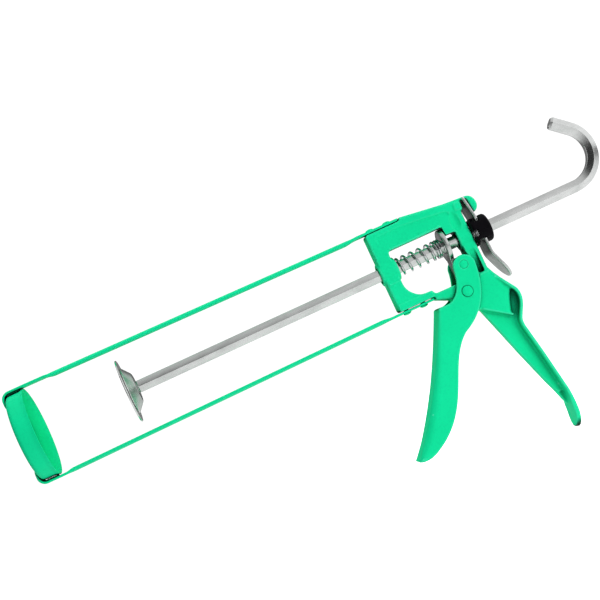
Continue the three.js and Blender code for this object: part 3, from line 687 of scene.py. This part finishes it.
channel = [(185.6, 10.0), (185.6, -30.0)] + spine_inside().tolist() + [(141, -122), (240, -122), (240, 10)]
drill = [lathe([(-14, 0), (-14, r), (14, r), (14, 0)], "Y", (x, 0, z), 40)
         for (x, z), r in ((PIVOT, PIVOT_HOLE_R), (PIN, PIN_HOLE_R))]
sinks = []
for side in (-1, 1):
    sink = [(side * THROUGH, 0), (side * THROUGH, RIVET_DISH_R + 0.2), (side * RIVET_DISH_Y, RIVET_DISH_R),
            (side * RIVET_DISH_Y, 0)]
    sinks.append(lathe(sink, "Y", (PIVOT[0], 0, PIVOT[1]), 40))
cheeks = carve(
    plate(cheek, -CHEEK_Y, CHEEK_Y, trigger_rounding(), 5),
    plate(channel, -CHANNEL_HALF_W, CHANNEL_HALF_W, 1.6), *drill, *sinks,
)
piece("trigger_channel", [cheeks], CAST_PAINT, "trigger", ["trigger"],
      voxel=TRIGGER_VOXEL, smooth=3)

rivet = [(-10.5, 0), (-10.45, 1.6), (-10.25, 2.6), (-9.9, 3.1), (-9.3, 3.2), (-9.3, 2.6)]
rivet += [(-a, b) for a, b in rivet[::-1]]
piece("pivot_rivet", [lathe(rivet, "Y", (PIVOT[0], 0, PIVOT[1]), 48)], SHEET_PAINT, "frame",
      ["trigger_pivot_pin"])
pin = [(-9.7, 0), (-9.65, 1.4), (-9.4, 2.3), (-9.2, 2.5)]
pin += [(-a, b) for a, b in pin[::-1]]
piece("drive_pin", [lathe(pin, "Y", (PIN[0], 0, PIN[1]), 40)], SHEET_PAINT, "trigger",
      ["trigger_drive_pin"])

PLATE_X, PLATE_T, PLATE_R, PLATE_HOLE_R = 202.6, 2.5, 10.4, 4.45
LEG_HALF_W, LEG_TOP_Z, LEG_END_Z, LEG_CORNER = 5.5, -12.6, -21.0, 0.8
leg = [(LEG_HALF_W, LEG_TOP_Z), (LEG_HALF_W, LEG_END_Z + LEG_CORNER), (LEG_HALF_W - LEG_CORNER, LEG_END_Z)]
key = arc(0, 0, PLATE_R, -58, 238, 5) + [(-y, z) for y, z in leg] + leg[::-1]
key_plate = carve(
    plate(key, PLATE_X, PLATE_X + PLATE_T, 0.45, 3, "X"),
    lathe([(200, 0), (200, PLATE_HOLE_R), (208, PLATE_HOLE_R), (208, 0)], sides=48),
)
piece("drive_key_plate", [key_plate], PLATE_STEEL, "drive", ["drive_plate"])

SPRING_X, SPRING_R, SPRING_WIRE_R = 173.0, 5.2, 0.7
SPRING_COILS = [(0.5, 1.5), (4, 5.1), (1, 3.3), (2, 1.5)]
drive_coil = piece(
    "return_spring", [coil(SPRING_X, SPRING_R, SPRING_WIRE_R, SPRING_COILS)], WIRE_STEEL, "frame",
    ["drive_spring"], ride=False, sharp=60,
)
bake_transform(drive_coil)

# ---- Push rod and plunger ----

FLAT = 3.6  # from the rod's middle to each of its flats
HOOK_X, HOOK_R, HOOK_TURN = 291.5, 18.6, 140
SPIGOT_R, SPIGOT_END_X, PLUNGER_HOLE_R = 2.5, 7, 2.75
DISC_R, DISC_T, DISH_X, DISH_BACK_X = 19.25, 0.9, 1.15, 6.0
corner = FLAT / math.cos(math.pi / 6)
hexagon = [(corner * math.cos(a), corner * math.sin(a)) for a in np.radians(np.arange(0, 360, 60))]
hexagon = np.array(fillet(hexagon, 0.34, 3))
bend = arc(HOOK_X, HOOK_R, HOOK_R, -90, HOOK_TURN - 90, 3.5)
tail = np.array([math.cos(math.radians(HOOK_TURN)), math.sin(math.radians(HOOK_TURN))])
rod_line = [(x, 0) for x in (6.3, 6.9, 60, 150, 240, 285)] + bend
rod_line += [np.array(bend[-1]) + tail * d for d in (1.5, 6.0, 11.4, 12.2, 12.85)]
sections = [hexagon * 0.9] + [hexagon] * (len(rod_line) - 3) + [hexagon * 0.93, hexagon * 0.80]
piece("hexagon_rod", [sweep(rod_line, sections)], ROD_STEEL, "rod", ["push_rod"], sharp=16)
spigot = lathe(
    [(0, 0), (0, SPIGOT_R - 0.3), (0.25, SPIGOT_R), (SPIGOT_END_X, SPIGOT_R), (SPIGOT_END_X, 0)], sides=40
)
piece("rod_spigot", [spigot], PLATE_STEEL, "rod", [])
disc = [
    (0, PLUNGER_HOLE_R), (0, 18.9), (0.12, 19.15), (DISC_T / 2, DISC_R), (DISC_T - 0.12, 19.15),
    (DISC_T, 18.9), (DISC_T, PLUNGER_HOLE_R),
]
piece("plunger_plate", [lathe(disc, closed=True, sides=96)], PLATE_STEEL, "rod",
      ["plunger_disc"])
dish = fillet(
    [(DISH_X, 12.9), (DISH_X, 14.4), (DISH_BACK_X, 8.5), (DISH_BACK_X, PLUNGER_HOLE_R),
     (DISH_BACK_X - 1, PLUNGER_HOLE_R), (DISH_BACK_X - 1, 7.9)],
    [0.2, 0.8, 1.2, 0.2, 0.2, 1.0],
)
piece("plunger_dish", [lathe(dish, closed=True, sides=96)], PLATE_STEEL, "rod",
      ["plunger_cone"])

# ---- Release lever, its spring and the guide block ----

LEVER_T, LEVER_HALF_W, LEVER_NECK, LEVER_TIP_R, LEVER_TIP_Z = 1.6, 10.3, 8.6, 9.4, 22.7
LEVER_STEP, LEVER_HOLE_R = 0.8, 5.4
LEVER_SPRING_X, LEVER_SPRING_R, LEVER_SPRING_WIRE_R = 220.95, 5.7, 0.45
lever_line = fillet([(223.95, 21.5), (226.2, 8.0), (226.3, -15.0), (232.8, -31.85)],
                    [0, 3.0, 2.0, 0], 6, closed=False)
fine = [lever_line[0]]
for a, b in zip(lever_line, lever_line[1:]):
    n = max(1, round(np.linalg.norm(np.array(b) - a) / LEVER_STEP))
    fine += [np.array(a) + (np.array(b) - a) * t for t in np.linspace(0, 1, n + 1)[1:]]


def lever_width(z):
    """Half the lever's width at height z: a neck in the guide block and a round thumb end."""
    heights = [-22, -7.4, -6.4, 5.4, 6.4, 14, 23]
    widths = [LEVER_HALF_W, LEVER_HALF_W, LEVER_NECK, LEVER_NECK, LEVER_HALF_W, LEVER_HALF_W, LEVER_TIP_R]
    tip = LEVER_TIP_R ** 2 - max(-z - LEVER_TIP_Z, 0) ** 2
    return max(min(np.interp(-z, heights, widths), math.sqrt(max(tip, 0.6))), 0.6)


lever = carve(
    sweep(fine, [bar_section(lever_width(z), LEVER_T, 0.4, 3, 8) for _, z in fine]),
    lathe([(218, 0), (218, LEVER_HOLE_R), (232, LEVER_HOLE_R), (232, 0)], sides=48),
    plate([(218, 20.2), (230, 20.2), (230, 26), (218, 26)], -6.8, 6.8),
)
piece("thumb_lever", [lever], PLATE_STEEL, "release", ["release_lever"])
lever_wire = coil(LEVER_SPRING_X, LEVER_SPRING_R, LEVER_SPRING_WIRE_R, [(2.4, 1.4)], 26)
small_coil = piece(
    "lever_spring", [lever_wire], WIRE_STEEL, "frame", ["release_spring"], ride=False,
    sharp=60,
)
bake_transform(small_coil)

BLOCK_X, BLOCK_HALF_W, BLOCK_HALF_H, BLOCK_ROUND = (220.95, 232.4), 11.2, 8.5, 1.6
BLOCK_SIDE = 14  # a cutter this far out goes right through the block
SPRING_SEAT_R, BLOCK_VOXEL = 6.8, 0.26


def stadium(half_w, half_h):
    """The outline of a slot with round ends."""
    flat = half_w - half_h
    return arc(flat, 0, half_h, -90, 90, 7) + arc(-flat, 0, half_h, 90, 270, 7)


full_width = (-BLOCK_SIDE, BLOCK_SIDE)
block_cuts = [
    plate([(224.5, 12), (227.3, 12), (227.3, -12), (222.7, -12)], -9.0, 9.0),
    plate([(224.5, 12), (227.3, 12), (227.3, 6), (224.0, 6)], *full_width),
    plate([(223.3, -5.2), (227.3, -5.2), (227.3, -12), (222.7, -12)], *full_width),
    plate([(219, -3.2), (224, -3.2), (224, 0.6), (219, 0.6)], *full_width),
    lathe([(219, 0), (219, SPRING_SEAT_R), (225, SPRING_SEAT_R), (225, 0)], sides=48),
    lathe([(219, 0), (219, BORE_R), (234, BORE_R), (234, 0)], sides=48),
    plate([(218, 6.2), (221.9, 6.2), (224.6, 10), (218, 10)], *full_width),
    plate([(218, -6.6), (221.5, -6.6), (223.4, -10), (218, -10)], *full_width),
]
block = carve(plate(stadium(BLOCK_HALF_W, BLOCK_HALF_H), *BLOCK_X, BLOCK_ROUND, 4, "X"), *block_cuts)
piece("guide_block", [block], BLACK, "frame", ["rod_guide_block"], voxel=BLOCK_VOXEL,
      smooth=3)

# ---- Stage, light and camera ----

FLOOR_R, FLOOR_GAP = 12, 0.0004  # in metres
FLOOR_BOUNCE = (0.34, 0.34, 0.34)  # what lit surfaces see of the floor, beside its glow
GLOW_AT, GLOW_REACH = (0.35, 0.1, 0), (0.1, 1.1)  # in metres, on the floor and from there outward
GLOW = (0.66, 0.03)  # what the floor gives the gun, near that point and far from it
low, high = cad_box
pale = Shader("pale_floor", Roughness=0.9)
pale.main.inputs["Emission Color"].default_value = (1, 1, 1, 1)
away = pale.node("VectorMath", {0: pale.place, 1: GLOW_AT}, operation="DISTANCE").outputs["Value"]
glow = pale.node(
    "MapRange",
    {"Value": away, "From Min": GLOW_REACH[0], "From Max": GLOW_REACH[1], "To Min": GLOW[0],
     "To Max": GLOW[1]},
    interpolation_type="SMOOTHSTEP",
).outputs[0]
seen = pale.node("LightPath").outputs["Is Camera Ray"]
cloud = pale.ramp(pale.noise(3, 2), [(0.3, (0.93, 0.93, 0.93)), (0.7, (0.95, 0.95, 0.95))])
pale.to("Base Color", pale.mix("MIX", seen, FLOOR_BOUNCE, cloud))
strength = pale.node("MapRange", {"Value": seen, "To Min": glow, "To Max": 1.0}).outputs[0]
pale.to("Emission Strength", strength)
turns = np.linspace(0, 2 * math.pi, 65)[:-1]
ring = [(high.x * 0.5 + FLOOR_R * math.cos(a), FLOOR_R * math.sin(a), 0) for a in turns]
floor_mesh = bpy.data.meshes.new("floor")
floor_mesh.from_pydata(ring, [], [tuple(range(len(ring)))])
floor = bpy.data.objects.new("floor", floor_mesh)
floor.location.z = low.z - FLOOR_GAP
floor_mesh.materials.append(pale.material)
bpy.context.scene.collection.objects.link(floor)

WORLD_LIGHT, WORLD_SEEN = 0.11, 1.1


def world_light():
    """White where the camera looks, even and dim as light, and a studio in reflections: bright to the
    right and below, greyer above, dark behind and darkest towards the front left."""
    world = bpy.data.worlds.new("studio")
    bpy.context.scene.world = world
    world.use_nodes = True
    tree = world.node_tree
    nodes, links = tree.nodes, tree.links
    nodes.clear()
    out = nodes.new("ShaderNodeOutputWorld")
    way = nodes.new("ShaderNodeTexCoord").outputs["Generated"]
    ray = nodes.new("ShaderNodeLightPath").outputs

    def toward(direction, *stops):
        dot = nodes.new("ShaderNodeVectorMath")
        dot.operation = "DOT_PRODUCT"
        links.new(way, dot.inputs[0])
        dot.inputs[1].default_value = Vector(direction).normalized()
        ramp = nodes.new("ShaderNodeMapRange")
        ramp.interpolation_type = "SMOOTHSTEP"
        links.new(dot.outputs["Value"], ramp.inputs["Value"])
        for key, value in zip(("From Min", "From Max", "To Min", "To Max"), stops):
            ramp.inputs[key].default_value = value
        return ramp.outputs[0]

    def times(a, b):
        made = nodes.new("ShaderNodeMath")
        made.operation = "MULTIPLY"
        links.new(a, made.inputs[0])
        links.new(b, made.inputs[1])
        return made.outputs[0]

    above = toward((0, 0, 1), 0.45, 0.95, 1.0, 0.64)
    front_left = toward((-0.52, -0.78, 0.35), 0.60, 0.90, 1.0, 0.04)
    behind = toward((-0.15, 0.98, 0.0), 0.30, 0.85, 1.0, 0.18)
    strength = nodes.new("ShaderNodeMapRange")
    links.new(ray["Is Glossy Ray"], strength.inputs["Value"])
    strength.inputs["To Min"].default_value = WORLD_LIGHT
    links.new(times(above, times(front_left, behind)), strength.inputs["To Max"])
    studio = nodes.new("ShaderNodeBackground")
    seen = nodes.new("ShaderNodeBackground")
    studio.inputs["Color"].default_value = seen.inputs["Color"].default_value = (1, 1, 1, 1)
    links.new(strength.outputs[0], studio.inputs["Strength"])
    seen.inputs["Strength"].default_value = WORLD_SEEN
    pick = nodes.new("ShaderNodeMixShader")
    links.new(ray["Is Camera Ray"], pick.inputs[0])
    links.new(studio.outputs[0], pick.inputs[1])
    links.new(seen.outputs[0], pick.inputs[2])
    links.new(pick.outputs[0], out.inputs["Surface"])


world_light()

LAMP_SIZE = (1.4, 1.0)
LAMP_AIM = Vector((0.12, 0, -0.02))


def soft_box(name, at, power):
    """A large lamp that lights the gun's middle and doesn't show in reflections."""
    data = bpy.data.lights.new(name, "AREA")
    data.shape, data.energy = "RECTANGLE", power
    data.size, data.size_y = LAMP_SIZE
    obj = bpy.data.objects.new(name, data)
    obj.location = at
    obj.rotation_euler = (LAMP_AIM - Vector(at)).to_track_quat("-Z", "Y").to_euler()
    obj.visible_glossy = obj.visible_camera = False
    bpy.context.scene.collection.objects.link(obj)


soft_box("top", (0.05, -0.1, 1.1), 9.0)
soft_box("front", (0.75, -1.2, 0.16), 13.5)
soft_box("back", (-0.3, 1.2, 0.95), 9.0)

LENS, SENSOR, DISTANCE = 70.9, 36.0, 0.692
TARGET = Vector((0.1126, 0, 0.0067))
YAW, PITCH, ROLL = map(math.radians, (5.2, 2.5, 24.85))
camera_data = bpy.data.cameras.new("camera")
camera_data.lens, camera_data.sensor_width = LENS, SENSOR
camera_data.clip_start, camera_data.clip_end = 0.01, 100
camera = bpy.data.objects.new("camera", camera_data)
look = Vector((math.sin(YAW) * math.cos(PITCH), math.cos(YAW) * math.cos(PITCH), math.sin(PITCH)))
right = look.cross(Vector((0, 0, 1))).normalized()
up = right.cross(look)
rolled_right = right * math.cos(ROLL) - up * math.sin(ROLL)
rolled_up = up * math.cos(ROLL) + right * math.sin(ROLL)
turn = Matrix((rolled_right, rolled_up, -look)).transposed().to_4x4()
camera.matrix_world = Matrix.Translation(TARGET - look * DISTANCE) @ turn
bpy.context.scene.collection.objects.link(camera)
bpy.context.scene.camera = camera
bpy.context.scene.view_settings.view_transform = "Standard"
